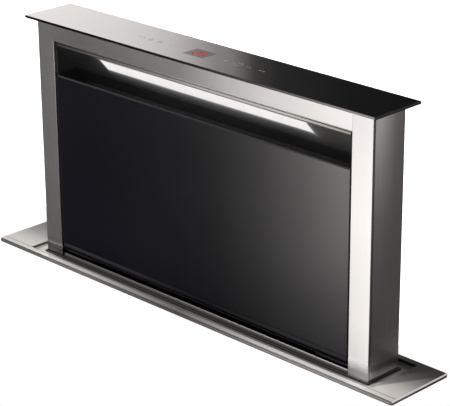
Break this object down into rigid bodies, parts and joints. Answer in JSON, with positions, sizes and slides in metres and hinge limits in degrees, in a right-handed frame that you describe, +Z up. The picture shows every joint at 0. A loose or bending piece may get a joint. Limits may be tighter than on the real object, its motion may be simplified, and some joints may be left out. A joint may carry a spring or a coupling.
{
  "type": "downdraft vent",
  "caption": "Kitchen vent whose tower rises from a worktop plate on two screws, draws air in through a lit mouth over a tilting glass panel and blows it out of a side spigot.",
  "frame": {"origin": "middle of the floor area that the unit covers, on the floor under its feet", "axes": "+Z up, the way the tower rises; +X to the cook's right; the cook stands on the -Y side"},
  "size_m": [0.88, 0.309, 1.064],
  "materials": {
    "brushed_steel": "brushed",
    "plate_steel": "brushed",
    "side_steel": "brushed",
    "black_glass": "polished",
    "tinted_window": "polished",
    "zinc_sheet": "zinc coated",
    "black_paint": "satin",
    "black_rubber": "matte",
    "black_plastic": "matte",
    "grey_plastic": "matte",
    "white_plastic": "matte",
    "diffuser": "opal",
    "circuit_board": "lacquered",
    "filter_metal": "woven mesh",
    "turned_steel": "turned",
    "bronze": "turned"
  },
  "bodies": {
    "chassis": {"trim_plate": "plate_steel", "flange_gasket": "black_rubber", "recess_tray": "brushed_steel", "wiper_seal": "black_rubber", "casing_front_panel": "zinc_sheet", "casing_back_panel": "zinc_sheet", "casing_left_side": "zinc_sheet", "casing_right_side": "zinc_sheet", "casing_floor": "zinc_sheet", "floor_bracket_left": "zinc_sheet", "floor_bracket_right": "zinc_sheet", "worktop_clamp_left": "zinc_sheet", "worktop_clamp_right": "zinc_sheet", "guide_rail_left": "turned_steel", "guide_rail_right": "turned_steel", "screw_bearing_left": "black_plastic", "screw_bearing_right": "black_plastic", "lift_gearmotor": "black_paint", "drive_belt": "black_rubber", "blower_housing": "zinc_sheet", "inlet_ring": "black_plastic", "blower_motor": "black_paint", "outlet_spigot": "grey_plastic", "control_box": "grey_plastic", "control_box_lid": "grey_plastic", "terminal_block": "white_plastic", "power_board": "circuit_board", "cable_gland": "black_plastic"},
    "left_screw": {"lead_screw_left": "turned_steel", "screw_pulley_left": "turned_steel"},
    "right_screw": {"lead_screw_right": "turned_steel", "screw_pulley_right": "turned_steel"},
    "lift_shaft": {"motor_pulley": "turned_steel"},
    "tower": {"left_column": "brushed_steel", "right_column": "brushed_steel", "left_side_panel": "side_steel", "right_side_panel": "side_steel", "back_panel": "zinc_sheet", "top_rail": "brushed_steel", "lower_rail": "brushed_steel", "cap": "black_glass", "display_window": "tinted_window", "control_board": "circuit_board", "intake_liner": "brushed_steel", "led_diffuser": "diffuser", "led_board": "circuit_board", "filter_left": "filter_metal", "filter_right": "filter_metal", "filter_rail_top": "zinc_sheet", "filter_rail_bottom": "zinc_sheet", "carriage": "zinc_sheet", "lift_nut_left": "bronze", "lift_nut_right": "bronze", "guide_shoe_left": "white_plastic", "guide_shoe_right": "white_plastic"},
    "front_panel": {"glass_panel": "black_glass", "panel_frame": "black_paint"},
    "blower_wheel": {"impeller": "black_plastic"},
    "left_damper": {"left_flap": "black_plastic"},
    "right_damper": {"right_flap": "black_plastic"}
  },
  "joints": [
    {"name": "tower_lift", "type": "slide", "parent": "chassis", "child": "tower", "axis": [0, 0, 1], "range_m": [-0.4086, 0]},
    {"name": "left_screw_spin", "type": "hinge", "parent": "chassis", "child": "left_screw", "pos_m": [-0.368, 0.0685, 0.3], "axis": [0, 0, 1], "range_deg": [-7400, 0]},
    {"name": "right_screw_spin", "type": "hinge", "parent": "chassis", "child": "right_screw", "pos_m": [0.39, 0.0685, 0.3], "axis": [0, 0, 1], "range_deg": [-7400, 0]},
    {"name": "lift_shaft_spin", "type": "hinge", "parent": "chassis", "child": "lift_shaft", "pos_m": [-0.239, 0.1055, 0.05], "axis": [0, 0, 1], "range_deg": [-7400, 0]},
    {"name": "front_panel_tilt", "type": "hinge", "parent": "tower", "child": "front_panel", "pos_m": [0.011, 0.0645, 0.6625], "axis": [1, 0, 0], "range_deg": [0, 30]},
    {"name": "blower_spin", "type": "hinge", "parent": "chassis", "child": "blower_wheel", "pos_m": [0.011, -0.03, 0.23], "axis": [0, 1, 0], "continuous": true},
    {"name": "left_flap_swing", "type": "hinge", "parent": "chassis", "child": "left_damper", "pos_m": [0.2003, -0.0595, 0.23], "axis": [0, 0, 1], "range_deg": [0, 70], "stiffness_Nm_per_rad": 0.01},
    {"name": "right_flap_swing", "type": "hinge", "parent": "chassis", "child": "right_damper", "pos_m": [0.2003, -0.0595, 0.23], "axis": [0, 0, 1], "range_deg": [-70, 0], "stiffness_Nm_per_rad": 0.01}
  ],
  "couplings": [
    {"joint": "left_screw_spin", "follows": "tower_lift", "rad_per_m": 314.16},
    {"joint": "right_screw_spin", "follows": "tower_lift", "rad_per_m": 314.16},
    {"joint": "lift_shaft_spin", "follows": "tower_lift", "rad_per_m": 314.16}
  ]
}
